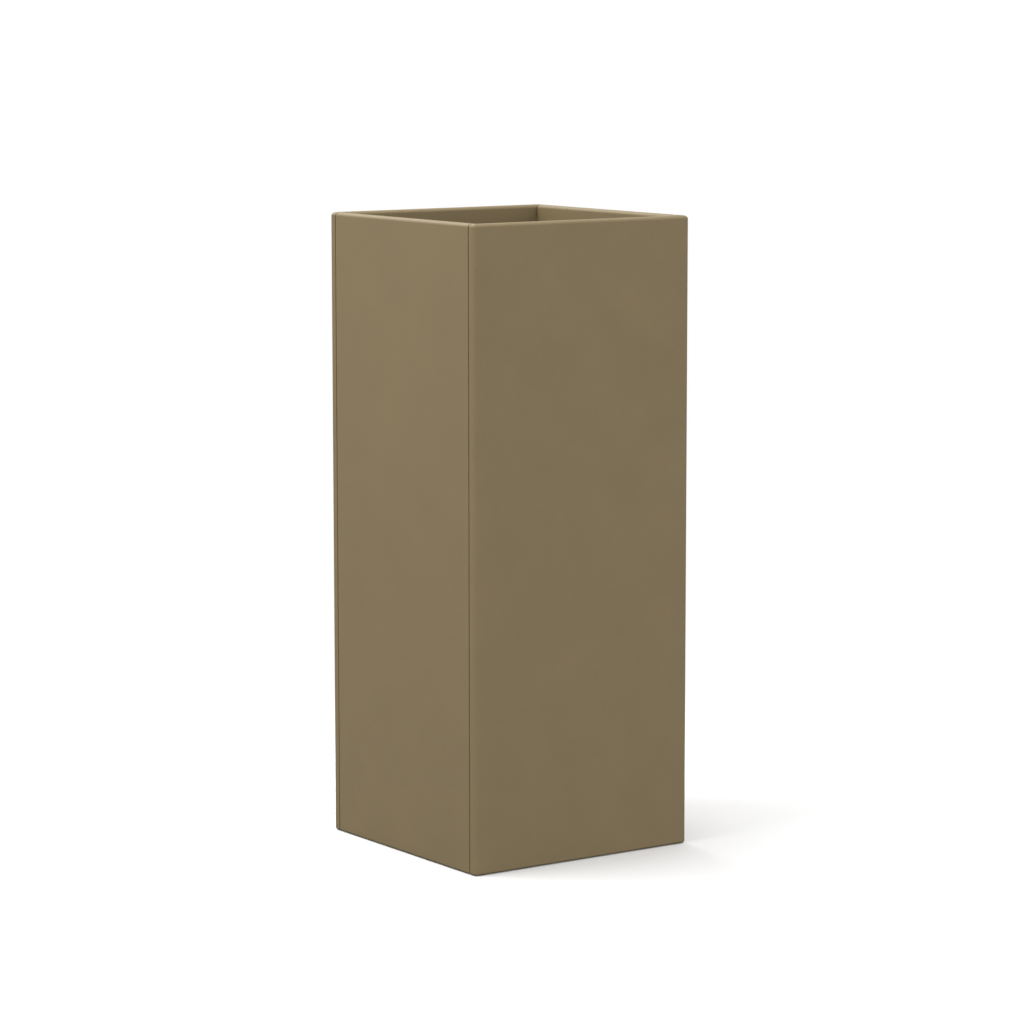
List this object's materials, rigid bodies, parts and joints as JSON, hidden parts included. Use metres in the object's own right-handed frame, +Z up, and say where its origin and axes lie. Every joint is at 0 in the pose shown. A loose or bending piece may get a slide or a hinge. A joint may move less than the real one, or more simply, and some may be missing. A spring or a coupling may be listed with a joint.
{
  "type": "tall square planter",
  "caption": "Tall square open-topped planter of bonded fibreglass boards with a softly crowned rim, a raised floor panel on battens, low rubber feet and a pull-out drain plug.",
  "frame": {"origin": "on the ground under the middle of the planter", "axes": "+Z up; -Y is the front, a full-width board; -X and +X are the side boards with the joint grooves"},
  "size_m": [0.3302, 0.3302, 0.8128],
  "materials": {
    "painted_fibreglass": "matt sand-olive paint on glass-fibre laminate",
    "raw_fibreglass": "uncoated glass-fibre laminate, satin",
    "black_rubber": "matt moulded rubber",
    "zinc_steel": "bright zinc-plated steel"
  },
  "bodies": {
    "planter": {"front_panel": "painted_fibreglass", "back_panel": "painted_fibreglass", "left_panel": "painted_fibreglass", "right_panel": "painted_fibreglass", "base_panel": "painted_fibreglass", "corner_angle_front_left": "painted_fibreglass", "corner_angle_front_right": "painted_fibreglass", "corner_angle_back_left": "painted_fibreglass", "corner_angle_back_right": "painted_fibreglass", "front_cleat": "raw_fibreglass", "back_cleat": "raw_fibreglass", "left_cleat": "raw_fibreglass", "right_cleat": "raw_fibreglass", "foot_front_left": "black_rubber", "foot_front_right": "black_rubber", "foot_back_left": "black_rubber", "foot_back_right": "black_rubber", "foot_screw_front_left": "zinc_steel", "foot_screw_front_right": "zinc_steel", "foot_screw_back_left": "zinc_steel", "foot_screw_back_right": "zinc_steel"},
    "drain_plug": {"drain_plug": "black_rubber"}
  },
  "joints": [
    {"name": "drain_plug_pull", "type": "slide", "parent": "planter", "child": "drain_plug", "axis": [0, 0, 1], "range_m": [0, 0.06]}
  ]
}
